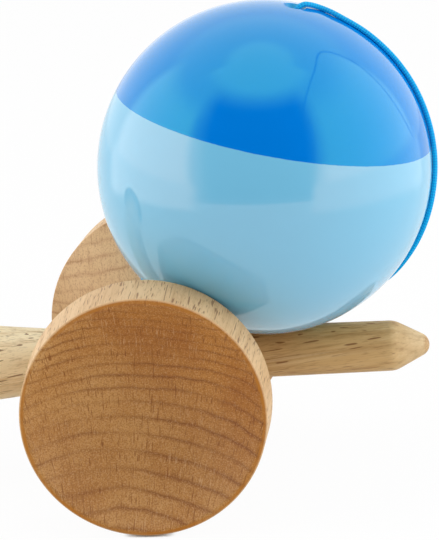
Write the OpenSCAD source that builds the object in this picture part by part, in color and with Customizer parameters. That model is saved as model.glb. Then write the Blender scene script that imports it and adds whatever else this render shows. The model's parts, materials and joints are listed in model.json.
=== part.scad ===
// Cup and ball toy, lying on a table with its ball at rest against the two side cups.
// All lengths are in millimetres. The toy is drawn with its handle along X, the side cups along Y
// and the crossing of the two at the origin, and is then laid on the table, the plane Z = 0.

/* [Ball] */
// Diameter of the ball
ball_d = 60; // [56:0.5:64]
// Diameter of the hole that takes the spike
spike_hole_d = 21; // [18:0.5:24]
// Depth of the spike hole
spike_hole_depth = 39; // [36:0.5:42]
// Bevel round the mouth of the spike hole
spike_hole_bevel = 0.8; // [0.3:0.1:1.5]
// Diameter of the string hole through the rest of the ball
string_hole_d = 2.4; // [1.8:0.1:3]
// Diameter of the countersink where the string leaves the ball
string_sink_d = 4.2; // [3.4:0.1:6]
// Height of the line between the two paints, above the centre of the ball
paint_line = 9.2; // [-15:0.1:15]
// Lean of the ball's axis as it rests, in degrees
ball_lean = 14; // [0:1:20]
// Direction of that lean, in degrees from the spike toward the back cup
ball_lean_turn = 6; // [0:1:45]

/* [Crosspiece] */
// Widest diameter of the front cup, at its shoulder
front_cup_d = 44.1; // [40:0.1:48]
// Widest diameter of the back cup, at its shoulder
back_cup_d = 44.1; // [40:0.1:48]
// Narrowing of the front cup from its shoulder to its rim, on the radius
front_taper = 0.25; // [0.1:0.05:1.5]
// Narrowing of the back cup from its shoulder to its rim, on the radius
back_taper = 1; // [0.1:0.05:1.5]
// Distance from the handle's axis to the rim of the front cup
front_reach = 36.4; // [34:0.1:40]
// Distance from the handle's axis to the rim of the back cup
back_reach = 32.6; // [30:0.1:40]
// Width of the band round the front cup
front_band = 11.2; // [9:0.1:13]
// Width of the band round the back cup
back_band = 11.2; // [9:0.1:13]
// Rounding of the shoulder behind each cup
shoulder_r = 0.4; // [0.2:0.1:1.5]
// Slope of the flare behind each side cup, in degrees from square to the cup's axis
side_flare = 42; // [36:1:46]
// Diameter of the waist between the side cups
waist_d = 21.5; // [18:0.1:22]
// Radius of the hollow where the waist meets each flare
waist_fillet = 4; // [2:0.1:6]

/* [Cups] */
// Width of the lip round each dish
rim_lip = 1.2; // [0.8:0.1:2]
// Rounding of the outer edge of each rim
rim_edge = 0.5; // [0.2:0.1:0.7]
// How much rounder the dishes are than the ball, on the radius
dish_ease = 0.5; // [0.2:0.1:2]

/* [Handle and spike] */
// Distance from the crossing to the tip of the spike
spike_reach = 49.1; // [46:0.1:60]
// Diameter of the spike where it leaves the crosspiece
spike_root_d = 9.6; // [8.5:0.1:10]
// Diameter of the spike where its point begins
spike_end_d = 9.1; // [8:0.1:9.5]
// Length of the point
point_len = 6.2; // [5:0.1:9]
// Rounding of the tip
tip_r = 2.2; // [1:0.1:2.6]
// Diameter of the handle where it enters the crosspiece
seat_d = 10.4; // [10:0.1:12]
// How fast the handle widens as it leaves the crosspiece, in radius per length
handle_taper = 0.045; // [0.02:0.005:0.08]
// Thickest diameter of the handle
belly_d = 23; // [18:0.1:26]
// Distance from the crossing to the thickest place
belly_at = 82; // [70:1:88]
// Diameter of the neck above the base cup
neck_d = 18; // [14:0.1:20]
// Distance from the crossing to the neck
neck_at = 101; // [97:1:105]
// Widest diameter of the base cup, at its shoulder
base_cup_d = 38.7; // [34:0.1:40]
// Narrowing of the base cup from its shoulder to its rim, on the radius
base_taper = 0.3; // [0.1:0.05:1]
// Distance from the crossing to the rim of the base cup
base_reach = 118; // [116:0.5:126]
// Width of the band round the base cup
base_band = 6; // [5:0.1:8]

/* [String] */
// Diameter of the string
cord_d = 1.2; // [1:0.1:1.4]
// Diameter of the bead inside the ball
bead_d = 8; // [7:0.1:8.4]
// Diameter of the hole through the bead
bead_hole_d = 2; // [1.8:0.1:2.4]
// Diameter of the knots
knot_d = 3.2; // [2.8:0.1:3.4]
// Diameter of the string hole through the handle
handle_hole_d = 2; // [1.8:0.1:2.4]
// Diameter of the string hole through the crosspiece
cross_hole_d = 2.6; // [2.2:0.1:3.2]
// Bevel of that hole where the string leaves it
cross_hole_bevel = 0.8; // [0.3:0.1:1.2]

/* [Coil of spare string] */
// Radius of the outermost turn
coil_r = 8; // [7:0.1:10]
// Turns in the coil, which ends half a turn from where it starts
coil_turns = 3.5; // [3.5:1:5.5]
// Space between neighbouring turns
coil_gap = 0.45; // [0.42:0.01:0.8]
// Width of the tie round the coil
tie_w = 2; // [1:0.1:3]
// Thickness of the tie
tie_t = 0.4; // [0.3:0.05:0.6]

/* [Clearances] */
// Between the handle's seat and the crosspiece, on the radius
seat_gap = 0.05; // [0.02:0.01:0.1]
// Between the resting ball and the shoulders of the cups
rest_gap = 0.3; // [0.2:0.05:0.6]
// Between the round of the resting ball and the spike under it
spike_gap = 0.3; // [0.2:0.1:1.5]
// Between a knot or a bead and what it bears on
knot_gap = 0.2; // [0.1:0.05:0.3]
// Round the bead in its room at the end of the spike hole
bead_gap = 0.7; // [0.3:0.1:1.2]
// Between the string and what it lies on
string_gap = 0.3; // [0.2:0.05:0.4]
// Between the coil and its tie
tie_gap = 0.2; // [0.1:0.05:0.4]

/* [Hidden] */
$fn = 96;
beech = [0.86, 0.70, 0.50];
end_grain = [0.74, 0.56, 0.37];
deep_blue = [0.05, 0.47, 0.84];
sky_blue = [0.53, 0.77, 0.88];
cord_blue = [0.0, 0.60, 0.88];
bead_wood = [0.80, 0.66, 0.47];
tie_white = [0.93, 0.93, 0.90];

ball_r = ball_d / 2;
dish_r = ball_r + dish_ease;
seat_half = waist_d / 2;

// Points on an arc of radius r about c, from angle a0 to angle a1
function arc(c, r, a0, a1, n) =
    [for (i = [0:n]) let (a = a0 + (a1 - a0) * i / n) c + r * [cos(a), sin(a)]];

// Points on a hollow curve that leaves radius r1 along the axis and nears radius r2 square to it
function cove(r1, z1, r2, z2, n) =
    [for (i = [0:n - 1]) let (t = 90 * i / n) [r2 - (r2 - r1) * cos(t), z1 + (z2 - z1) * sin(t)]];

// Points on an arc of radius r that leaves radius r1 along the axis and turns into a straight slope,
// which ends at radius r2 and height z2
function flare(r1, r2, z2, tilt, r, n) =
    let (
        turn = 90 - tilt,
        z1 = z2 - tan(tilt) * (r2 - r1) - r * (sin(turn) - tan(tilt) * (1 - cos(turn))))
    [for (i = [0:n]) let (t = turn * i / n) [r1 + r * (1 - cos(t)), z1 + r * sin(t)]];

// Outline of a cup's band on its axis, as [radius, height], from a back that slopes by tilt out to the rim
function band_outline(cup_d, taper, rim, band, tilt) =
    let (r = cup_d / 2)
    concat(
        arc([r - shoulder_r, rim - band + shoulder_r], shoulder_r, tilt - 90, 0, 5),
        arc([r - taper - rim_edge, rim - rim_edge], rim_edge, 0, 90, 4));

function side_cup_outline(cup_d, taper, rim, band) =
    let (
        outline = band_outline(cup_d, taper, rim, band, side_flare),
        foot = outline[0])
    concat(flare(waist_d / 2, foot.x, foot.y, side_flare, waist_fillet, 8), outline);

// Height of the centre of a dish's sphere above a rim of radius r
function dish_rise(r) = sqrt(pow(dish_r, 2) - pow(r - rim_lip, 2));

function flip(points) = [for (i = [len(points) - 1:-1:0]) [points[i].x, -points[i].y]];

front_rim_r = front_cup_d / 2 - front_taper;
back_rim_r = back_cup_d / 2 - back_taper;
base_rim_r = base_cup_d / 2 - base_taper;

// How the toy lies: the table's upward direction as seen from the toy, from the three shoulders it rests on
front_at = front_reach - front_band + shoulder_r;
back_at = back_reach - back_band + shoulder_r;
base_at = base_reach - base_band + shoulder_r;
front_r = front_cup_d / 2 - shoulder_r;
back_r = back_cup_d / 2 - shoulder_r;
base_r = base_cup_d / 2 - shoulder_r;
roll = atan((back_r - front_r) / (front_at + back_at));
axis_h = front_at * sin(roll) + front_r * cos(roll);
pitch = asin(axis_h / norm([base_at, base_r])) - atan2(base_r, base_at);
up = [sin(pitch), sin(roll), sqrt(1 - pow(sin(pitch), 2) - pow(sin(roll), 2))];
along = ([1, 0, 0] - up.x * up) / norm([1, 0, 0] - up.x * up);
across = cross(up, along);

// Where the ball rests: against both shoulders, with the spike under it
front_ring = [-front_at, front_r];
back_ring = [back_at, back_r];
ring_span = back_ring - front_ring;
ring_mid = (front_ring + back_ring) / 2;
touch = ball_r + rest_gap + shoulder_r;
stand_off = sqrt(pow(touch, 2) - pow(norm(ring_span) / 2, 2));
saddle = ring_mid + stand_off * [-ring_span.y, ring_span.x] / norm(ring_span);
ball_z = ball_r + spike_root_d / 2 + spike_gap;
ball_at = [sqrt(pow(saddle.y, 2) - pow(ball_z, 2)), saddle.x, ball_z];

// Reach along a direction of a rim of radius r, from the middle of its edge and its axis
function rim_side(way, middle, axis, r) =
    way * middle + (r - rim_edge) * sqrt(1 - pow(way * axis, 2)) + rim_edge;

x_low = -rim_side(-along, [rim_edge - base_reach, 0, 0], [1, 0, 0], base_rim_r);
x_high = max(along * ball_at + ball_r, along * [spike_reach, 0, 0]);
y_low = -max(
    rim_side(-across, [0, rim_edge - front_reach, 0], [0, 1, 0], front_rim_r),
    ball_r - across * ball_at);
y_high = max(
    rim_side(across, [0, back_reach - rim_edge, 0], [0, 1, 0], back_rim_r),
    ball_r + across * ball_at);
shift = [-(x_low + x_high) / 2, -(y_low + y_high) / 2, axis_h + shoulder_r];

// Lays the toy on the table
module lie() {
    multmatrix([
        [along.x, along.y, along.z, shift.x],
        [across.x, across.y, across.z, shift.y],
        [up.x, up.y, up.z, shift.z],
        [0, 0, 0, 1]])
        children();
}

// Puts a shape drawn about the ball's own axis in its place
module in_ball() {
    lie()
        translate(ball_at)
            rotate([0, 0, ball_lean_turn])
                rotate([0, ball_lean, 0])
                    children();
}

// Handle, spike and base cup
seat_slope = (seat_d - spike_root_d) / (4 * seat_half);
seat_mid_r = (seat_d + spike_root_d) / 4;
handle_len = belly_at - seat_half;
point_at = spike_reach - point_len;
tip_at = spike_reach - tip_r;
point_span = [spike_end_d / 2, tip_at - point_at];
point_side = atan2(point_span.x, point_span.y) - asin(tip_r / norm(point_span));

// Points that ease between two radii, level at both ends
function ease(r1, z1, r2, z2, n) =
    [for (i = [1:n]) let (t = i / n) [r1 + (r2 - r1) * (1 - cos(180 * t)) / 2, z1 + (z2 - z1) * t]];

// Radius of the handle at a share t of the way from its thickest place to the crosspiece
function handle_r(t) =
    belly_d / 2 * (1 - 3 * pow(t, 2) + 2 * pow(t, 3))
    + seat_d / 2 * (3 * pow(t, 2) - 2 * pow(t, 3))
    + handle_taper * handle_len * (pow(t, 2) - pow(t, 3));

handle_outline = concat(
    [[0, -base_reach]],
    flip(concat(
        cove(neck_d / 2, neck_at, base_r, base_reach - base_band, 14),
        band_outline(base_cup_d, base_taper, base_reach, base_band, 0))),
    ease(neck_d / 2, -neck_at, belly_d / 2, -belly_at, 12),
    [for (i = [1:16]) [handle_r(i / 16), handle_len * i / 16 - belly_at]],
    [[spike_root_d / 2, seat_half], [spike_end_d / 2, point_at]],
    [for (p = arc([tip_at, 0], tip_r, 90 - point_side, 0, 8)) [p.y, p.x]]);

knot_seat_d = knot_d + 2 * knot_gap;
knot_seat_z = seat_mid_r - knot_d - 2 * knot_gap;

module handle() {
    color(beech)
        lie()
            difference() {
                rotate([0, 90, 0])
                    rotate_extrude()
                        polygon(handle_outline);
                translate([-base_reach - dish_rise(base_rim_r), 0, 0])
                    sphere(dish_r);
                cylinder(d = handle_hole_d, h = 2 * seat_d, center = true);
                translate([0, 0, knot_seat_z])
                    cylinder(d = knot_seat_d, h = seat_d);
            }
}

// Crosspiece with the front and back cups
cross_outline = concat(
    [[0, -back_reach]],
    flip(side_cup_outline(back_cup_d, back_taper, back_reach, back_band)),
    side_cup_outline(front_cup_d, front_taper, front_reach, front_band),
    [[0, front_reach]]);

module crosspiece() {
    color(end_grain)
        lie()
            difference() {
                rotate([90, 0, 0])
                    rotate_extrude()
                        polygon(cross_outline);
                translate([0, -front_reach - dish_rise(front_rim_r), 0])
                    sphere(dish_r);
                translate([0, back_reach + dish_rise(back_rim_r), 0])
                    sphere(dish_r);
                translate([-waist_d, 0, 0])
                    rotate([0, 90, 0])
                        cylinder(
                            r1 = seat_mid_r + seat_slope * waist_d + seat_gap,
                            r2 = seat_mid_r - seat_slope * waist_d + seat_gap,
                            h = 2 * waist_d);
                translate([0, 0, -waist_d])
                    cylinder(d = cross_hole_d, h = waist_d);
                translate([0, 0, -waist_d / 2 - cross_hole_bevel])
                    cylinder(
                        d1 = cross_hole_d + 4 * cross_hole_bevel,
                        d2 = cross_hole_d,
                        h = 2 * cross_hole_bevel);
            }
}

// Ball, with its axis along Z and the spike hole below
hole_end = spike_hole_depth - ball_r;
bead_drop = sqrt(pow(bead_d / 2, 2) - pow(string_hole_d / 2, 2)) + knot_gap;
bead_knot_drop = sqrt(pow((bead_d + knot_d) / 2, 2) - pow(bead_hole_d / 2, 2)) + knot_gap / 2;
bead_room_d = bead_d + 2 * bead_gap;
room_end = hole_end + bead_gap + knot_d / 2 + bead_knot_drop + bead_drop;
mouth_z = -sqrt(pow(ball_r, 2) - pow(spike_hole_d / 2 + spike_hole_bevel, 2));
sink_h = (string_sink_d - string_hole_d) / 2;

module ball_blank() {
    difference() {
        sphere(ball_r);
        translate([0, 0, -ball_d])
            cylinder(d = spike_hole_d, h = hole_end + ball_d);
        translate([0, 0, mouth_z - spike_hole_bevel])
            cylinder(
                d1 = spike_hole_d + 4 * spike_hole_bevel,
                d2 = spike_hole_d,
                h = 2 * spike_hole_bevel);
        cylinder(d = bead_room_d, h = room_end);
        cylinder(d = string_hole_d, h = ball_d);
        translate([0, 0, ball_r - sink_h])
            cylinder(d1 = string_hole_d, d2 = string_hole_d + 4 * sink_h, h = 2 * sink_h);
    }
}

module ball() {
    in_ball() {
        color(deep_blue)
            intersection() {
                ball_blank();
                translate([-ball_d, -ball_d, paint_line])
                    cube(2 * ball_d);
            }
        color(sky_blue)
            difference() {
                ball_blank();
                translate([-ball_d, -ball_d, paint_line])
                    cube(2 * ball_d);
            }
    }
}

// Bead that bears on the end of its room, and the string with the knot that holds it
bead_z = room_end - bead_drop;
bead_knot_z = bead_z - bead_knot_drop;
lay = cord_d / 2 + string_gap;
exit_bend = 2 * cord_d;
bend_z = ball_r + lay - exit_bend;
exit_z = bend_z - cord_d;

module bead() {
    color(bead_wood)
        in_ball()
            translate([0, 0, bead_z])
                difference() {
                    sphere(bead_d / 2);
                    cylinder(d = bead_hole_d, h = 2 * bead_d, center = true);
                }
}

module bead_knot() {
    color(cord_blue)
        in_ball() {
            translate([0, 0, bead_knot_z])
                sphere(knot_d / 2);
            translate([0, 0, bead_knot_z])
                cylinder(d = cord_d, h = exit_z - bead_knot_z);
        }
}

// Knot that holds the string in the handle, with the string down to the handle's underside
handle_knot_z = knot_seat_z + knot_gap + knot_d / 2;

module handle_knot() {
    color(cord_blue)
        lie() {
            translate([0, 0, handle_knot_z])
                sphere(knot_d / 2);
            translate([0, 0, -seat_mid_r])
                cylinder(d = cord_d, h = seat_mid_r + handle_knot_z);
        }
}

// Free string. It leaves the top of the ball, lies down its side and under it, passes over the waist
// of the crosspiece and drops to the table, where the spare length is coiled. From the coil it runs
// under the back cup to the hole below the waist.
function unit(v) = v / norm(v);
function square_to(v, way) = unit(v - (v * way) * way);

// Places a point or turns a direction from the toy as drawn to the toy as it lies
function turned(v) = [along * v, across * v, up * v];
function placed(p) = turned(p) + shift;

ball_centre = placed(ball_at);
ball_axis = turned([
    sin(ball_lean) * cos(ball_lean_turn),
    sin(ball_lean) * sin(ball_lean_turn),
    cos(ball_lean)]);
waist_centre = placed([0, 0, 0]);
hole_way = turned([0, 0, -1]);

// Where the string lies on the ball, as [degrees round from +X, degrees above the horizon]
over_ball = [
    [14, 68], [8, 62], [6, 50], [5, 37], [4, 24], [3, 11], [2, -2], [0, -15], [0, -28],
    [3, -41], [12, -52], [28, -60], [60, -67], [98, -70], [126, -66]];
// Where it lies on the waist, in degrees round it, and how far back
over_waist = [60, 90, 125, 158];
waist_y = 9.5;
// Where it drops to the table and runs to the coil
to_coil = [
    [22, 9.5, 20], [22, 9.5, 13], [22, 10, 6], [21.5, 12, 2.2], [20.5, 16, 0.9],
    [20, 23, 0.9], [21, 31, 0.9], [23.2, 37.8, 1]];
// Where it runs from the coil to the crosspiece
from_coil = [
    [41.8, 39.5, 1.8], [44, 33, 0.9], [45.8, 26, 0.9], [45.5, 18.5, 0.9], [43, 10.5, 0.9],
    [38.5, 4.5, 2.2], [34.6, 2.3, 5.2], [33.6, 1.9, 8.6]];
coil_centre = [33, 48];

function on_ball(a) = ball_centre
    + (ball_r + lay) * [cos(a.y) * cos(a.x), cos(a.y) * sin(a.x), sin(a.y)];
function on_waist(a) = [
    waist_centre.x + (waist_d / 2 + lay) * cos(a),
    waist_y,
    waist_centre.z + (waist_d / 2 + lay) * sin(a)];

// Bend from the string hole onto the ball
exit_way = square_to(on_ball(over_ball[0]) - ball_centre, ball_axis);
exit_points = concat(
    [ball_centre + exit_z * ball_axis],
    [for (t = [0, 45, 90])
        ball_centre + bend_z * ball_axis
        + exit_bend * (sin(t) * ball_axis + (1 - cos(t)) * exit_way)]);

// Coil in two layers: the turns spiral in, climb in the half turn in the middle and spiral out
coil_step = cord_d + coil_gap;
coil_rings = 24;
coil_low = tie_t + tie_gap + cord_d / 2;
coil_turn = 360 * coil_turns;
function coil_radius(t) = coil_r - coil_step * (coil_turn / 2 - abs(t - coil_turn / 2)) / 360;
function climb(t) = let (u = min(1, max(0, (t - coil_turn / 2 + 90) / 180))) u * u * (3 - 2 * u);
function coil_point(t) = [
    coil_centre.x + coil_radius(t) * cos(180 - t),
    coil_centre.y + coil_radius(t) * sin(180 - t),
    coil_low + coil_step * climb(t)];
coil_lead = [0, cord_d, 0];
coil_start = coil_point(0) - coil_lead;
coil_end = coil_point(coil_turn) - coil_lead;
coil_path = concat(
    [coil_start],
    [for (i = [0:coil_turns * coil_rings]) coil_point(360 * i / coil_rings)],
    [coil_end]);
self_gaps = [for (i = [0:len(coil_path) - 1])
    for (j = [i + coil_rings / 2:1:len(coil_path) - 1])
        norm(coil_path[i] - coil_path[j]) - cord_d];
echo(coil_least_gap_to_itself = min(self_gaps));

upper_route = concat(
    exit_points,
    [for (a = over_ball) on_ball(a)],
    [for (a = over_waist) on_waist(a)],
    to_coil,
    [coil_start - 2 * coil_lead, coil_start]);
lower_route = concat(
    [coil_end, coil_end - 2 * coil_lead],
    from_coil,
    [for (z = [waist_d / 2, seat_mid_r + knot_gap]) waist_centre + z * hole_way]);

// A smooth path through the route's points, with a place at least every step
function blend(a, b, c, d, t) =
    ((2 * b) + (c - a) * t + (2 * a - 5 * b + 4 * c - d) * pow(t, 2)
    + (3 * b - a - 3 * c + d) * pow(t, 3)) / 2;
function smooth(p, step) = concat(
    [for (i = [0:len(p) - 2])
        let (
            before = i > 0 ? p[i - 1] : 2 * p[0] - p[1],
            after = i < len(p) - 2 ? p[i + 2] : 2 * p[i + 1] - p[i],
            parts = ceil(norm(p[i + 1] - p[i]) / step))
        for (k = [0:parts - 1]) blend(before, p[i], p[i + 1], after, k / parts)],
    [p[len(p) - 1]]);

function path_length(p) =
    let (runs = [for (i = [1:len(p) - 1]) norm(p[i] - p[i - 1])])
    runs * [for (run = runs) 1];

// Direction of a path at each of its points
function headings(p) = [for (i = [0:len(p) - 1])
    unit(p[min(i + 1, len(p) - 1)] - p[max(i - 1, 0)])];

// Sideways directions carried along a path without twist
function sides_of(h) = [for (
    i = 0, v = square_to(abs(h[0].z) < 0.9 ? [0, 0, 1] : [1, 0, 0], h[0]);
    i < len(h);
    i = i + 1, v = square_to(v, h[min(i, len(h) - 1)])) v];

// Tube of round section along a path
module tube(path, d, n) {
    ways = headings(path);
    sides = sides_of(ways);
    last = len(path) - 1;
    points = [for (i = [0:last])
        for (a = [0:360 / n:359])
            path[i] + d / 2 * (cos(a) * sides[i] + sin(a) * cross(ways[i], sides[i]))];
    walls = [for (i = [0:last - 1])
        for (k = [0:n - 1])
            let (a = i * n + k, b = i * n + (k + 1) % n)
            each [[a, a + n, b], [b, a + n, b + n]]];
    ends = [for (k = [1:n - 2]) each [[0, k, k + 1], [last * n, last * n + k + 1, last * n + k]]];
    polyhedron(points, concat(walls, ends));
}

string_sides = 8;
coil_sides = 6;
ring_step = 3 * cord_d;
upper_path = smooth(upper_route, ring_step);
lower_path = smooth(lower_route, ring_step);
echo(string_length = path_length(upper_path) + path_length(coil_path) + path_length(lower_path));

module string_upper() {
    color(cord_blue)
        tube(upper_path, cord_d, string_sides);
}

module string_coil() {
    color(cord_blue)
        tube(coil_path, cord_d, coil_sides);
}

module string_lower() {
    color(cord_blue)
        tube(lower_path, cord_d, string_sides);
}

// Tie round the turns at the back of the coil
tied = [for (t = [90:360:coil_turn]) coil_radius(t)];
tie_in = [max(tied) - min(tied), coil_step] + (cord_d + 2 * tie_gap) * [1, 1];
tie_corner = cord_d / 2 + tie_gap;

module rounded(size, r) {
    square([size.x, size.y - 2 * r], center = true);
    square([size.x - 2 * r, size.y], center = true);
    for (x = [-1, 1])
        for (y = [-1, 1])
            translate([x * (size.x / 2 - r), y * (size.y / 2 - r)])
                circle(r);
}

module coil_tie() {
    color(tie_white)
        translate([
            coil_centre.x - tie_w / 2,
            coil_centre.y + (max(tied) + min(tied)) / 2,
            coil_low + coil_step / 2])
            rotate([90, 0, 90])
                linear_extrude(tie_w)
                    difference() {
                        rounded(tie_in + 2 * tie_t * [1, 1], tie_corner + tie_t);
                        rounded(tie_in, tie_corner);
                    }
}

handle();
crosspiece();
ball();
bead();
bead_knot();
handle_knot();
string_upper();
string_coil();
coil_tie();
string_lower();
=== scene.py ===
"""Looks of a cup and ball toy that lies on a white table with its ball at rest between the side cups."""

import json
import math
from collections import namedtuple

import bpy
import numpy as np
from mathutils import Matrix, Vector


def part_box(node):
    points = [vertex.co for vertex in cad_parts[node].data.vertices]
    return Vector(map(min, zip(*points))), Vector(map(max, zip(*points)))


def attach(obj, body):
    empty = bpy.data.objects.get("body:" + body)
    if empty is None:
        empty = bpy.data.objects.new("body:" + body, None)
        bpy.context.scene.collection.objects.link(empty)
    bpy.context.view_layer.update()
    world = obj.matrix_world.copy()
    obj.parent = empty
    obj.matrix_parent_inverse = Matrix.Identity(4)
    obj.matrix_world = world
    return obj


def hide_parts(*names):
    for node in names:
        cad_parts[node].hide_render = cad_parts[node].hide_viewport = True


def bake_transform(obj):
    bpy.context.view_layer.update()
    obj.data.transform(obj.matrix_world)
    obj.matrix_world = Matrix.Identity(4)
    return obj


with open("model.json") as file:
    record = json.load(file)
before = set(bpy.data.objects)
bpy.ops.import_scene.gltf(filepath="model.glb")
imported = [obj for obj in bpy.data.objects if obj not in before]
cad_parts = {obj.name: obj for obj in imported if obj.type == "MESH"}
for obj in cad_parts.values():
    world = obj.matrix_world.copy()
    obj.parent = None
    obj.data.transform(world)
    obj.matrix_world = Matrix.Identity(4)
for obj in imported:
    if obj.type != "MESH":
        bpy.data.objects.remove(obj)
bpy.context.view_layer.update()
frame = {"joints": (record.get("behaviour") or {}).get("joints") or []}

# Lengths are in millimetres where nothing else is said, and MM turns them into Blender's metres.
MM = 0.001

# Where things lie, from the frame in metres
JOINTS = {joint["name"]: joint for joint in frame["joints"]}
HANDLE_WAY = Vector(JOINTS["crosspiece_pull"]["axis"]).normalized()
BACK_WAY = Vector((0, 1, 0))
TOY_UP = HANDLE_WAY.cross(BACK_WAY)
BALL_WAY = Vector(JOINTS["ball_spin"]["axis"]).normalized()
BALL_AT = Vector(JOINTS["ball_spin"]["pos_m"])
CROSS_LOW, CROSS_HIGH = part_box("crosspiece")
HANDLE_LOW, HANDLE_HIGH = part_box("handle")
CROSSING = Vector((
    (CROSS_LOW.x + CROSS_HIGH.x) / 2,
    (HANDLE_LOW.y + HANDLE_HIGH.y) / 2,
    (CROSS_LOW.z + CROSS_HIGH.z) / 2))

# Camera: the photo's longer side and the focal length in pixels, and its place in metres
PHOTO_H = 540
FOCAL_PX = 4696.84
SENSOR = 36.0
CAMERA_AT = Vector((0.1125233, -0.8097652, 0.2783326))
CAMERA_RIGHT = Vector((0.99664508, 0.06960317, -0.04305882))
CAMERA_UP = Vector((0.02146106, 0.28544589, 0.95815455))

# Ball
BALL_R = 30.0
SPIKE_HOLE_R = 10.5
SPIKE_HOLE_BEVEL = 0.8
HOLE_END = 9.0
BEAD_ROOM_R = 4.7
STRING_HOLE_R = 1.2
STRING_SINK_R = 2.1

# Crosspiece
CUP_R = 22.05
FRONT_TAPER = 0.25
BACK_TAPER = 1.0
FRONT_REACH = 36.4
BACK_REACH = 32.6
SIDE_BAND = 11.2
SIDE_FLARE = 42
WAIST_R = 10.75
WAIST_FILLET = 4.0
CROSS_HOLE_R = 1.3
CROSS_HOLE_BEVEL = 0.8

# Cups
SHOULDER_R = 0.4
RIM_LIP = 1.2
RIM_EDGE = 0.5
DISH_R = BALL_R + 0.5
DISH_EDGE = 0.2

# Handle and spike
SPIKE_REACH = 49.1
SPIKE_ROOT_R = 4.8
SPIKE_END_R = 4.55
POINT_LEN = 6.2
POINT_EASE = 1.0
TIP_R = 2.2
SEAT_R = 5.2
SEAT_MID_R = 5.0
SEAT_HALF = WAIST_R
SEAT_GAP = 0.05
HANDLE_TAPER = 0.045
BELLY_R = 11.5
BELLY_AT = 82.0
GRIP_LEN = BELLY_AT - SEAT_HALF
NECK_R = 9.0
NECK_AT = 101.0
BASE_CUP_R = 19.35
BASE_TAPER = 0.3
BASE_REACH = 118.0
BASE_BAND = 6.0
HANDLE_HOLE_R = 1.0

# String and its braid, whose strands are raised by a share of its radius, and where its first corner points
CORD_D = 1.2
BRAID_D = 1.0
BRAID_DEPTH = 0.03
BRAID_PITCH = 1.0
BRAID_SIDES = 24
STRING_ACROSS = (0.3, 0.5, 0.8)
BRAID_STEP = 0.2
STRANDS = 4

# Knots, and the bead that one of them holds inside the ball, as heights on the ball's axis
KNOT_D = 3.2
KNOT_GAP = 0.2
KNOT_SKIN = 0.12
KNOT_DEPTH = 2.4
KNOT_SIDES = 16
KNOT_ACROSS = (0.3, 0.5, 0.1)
KNOT_RINGS = 97
STEM_RINGS = 41
BEAD_R = 4.0
BEAD_HOLE_R = 1.0
BEAD_GAP = 0.7
BEAD_DROP = math.sqrt(BEAD_R ** 2 - STRING_HOLE_R ** 2) + KNOT_GAP
KNOT_DROP = math.sqrt((BEAD_R + KNOT_D / 2) ** 2 - BEAD_HOLE_R ** 2) + KNOT_GAP / 2
ROOM_END = HOLE_END + BEAD_GAP + KNOT_D / 2 + KNOT_DROP + BEAD_DROP
BEAD_Z = ROOM_END - BEAD_DROP
BEAD_KNOT_Z = BEAD_Z - KNOT_DROP

# Route of the string: turn and rise on the ball, turn on the waist, places on and above the table
LAY = BRAID_D / 2 * (1 - BRAID_DEPTH)
EXIT_BEND = 2 * CORD_D
BEND_Z = BALL_R + LAY - EXIT_BEND
EXIT_Z = BEND_Z - CORD_D
BEND_TURNS = (0, 30, 60, 90)
OVER_BALL = (
    (14, 68), (8, 62), (6, 50), (5, 37), (4, 24), (3, 11), (2, -2), (0, -15), (0, -28),
    (3, -41), (12, -52), (28, -60), (60, -67), (98, -70), (126, -66))
OVER_WAIST = (60, 90, 125, 158)
WAIST_Y = 9.5
TO_COIL = (
    (22, 9.5, 20), (22, 9.5, 13), (22, 10, 6), (21.5, 12, 2.2), (20.5, 16, 0.9),
    (20, 23, 0.9), (21, 31, 0.9), (23.2, 37.8, 1))
FROM_COIL = (
    (41.8, 39.5, 1.8), (44, 33, 0.9), (45.8, 26, 0.9), (45.5, 18.5, 0.9), (43, 10.5, 0.9),
    (38.5, 4.5, 2.2), (34.6, 2.3, 5.2), (33.6, 1.9, 8.6))
CURVE_STEPS = 24

# Coil, and the flat tie round it
COIL_CENTRE = (33, 48)
COIL_R = 8.0
COIL_TURNS = 3.5
COIL_STEP = 1.65
COIL_LOW = 1.2
COIL_RINGS = 24
TIE_W = 2.0
TIE_T = 0.4
TIE_GAP = 0.2
TIE_CORNER_STEPS = 10
TIE_EDGE_STEPS = 6

# Slack string: half its length at rest, its length with the crosspiece off, and its height along that length
SLACK_RINGS = 97
SLACK_HALF = 0.4
SLACK_LENGTH = 62.0
SLACK_DROPS = ((0, -4.6), (0.02, -5.9), (0.7, -5.9), (0.83, -4.4), (0.985, -4.4), (1, -5.5))

# Fineness of the meshes: corners round a turned piece, steps along outlines, sharp angles in degrees
AROUND = 192
BALL_AROUND = 256
BEAD_AROUND = 96
DRILL_AROUND = 64
BALL_STEPS = 144
BEAD_STEPS = 48
DISH_STEPS = 40
HOLLOW_STEPS = 32
NECK_STEPS = 24
GRIP_STEPS = 48
WAIST_STEPS = 24
BORE_STEPS = 11
EDGE_STEPS = 8
LIP_STEPS = 5
PANEL_STEPS = 24
SHARP = 35
TIE_SHARP = 50
BRAID_SHARP = 60
NEVER_SHARP = 180


def srgb(red, green, blue):
    """A colour as picked on a screen, from 0 to 255, as linear light."""
    return tuple(
        (c / 255 / 12.92 if c <= 10 else ((c / 255 + 0.055) / 1.055) ** 2.4)
        for c in (red, green, blue)) + (1.0,)


def grey(level):
    return (level, level, level, 1.0)


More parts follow.
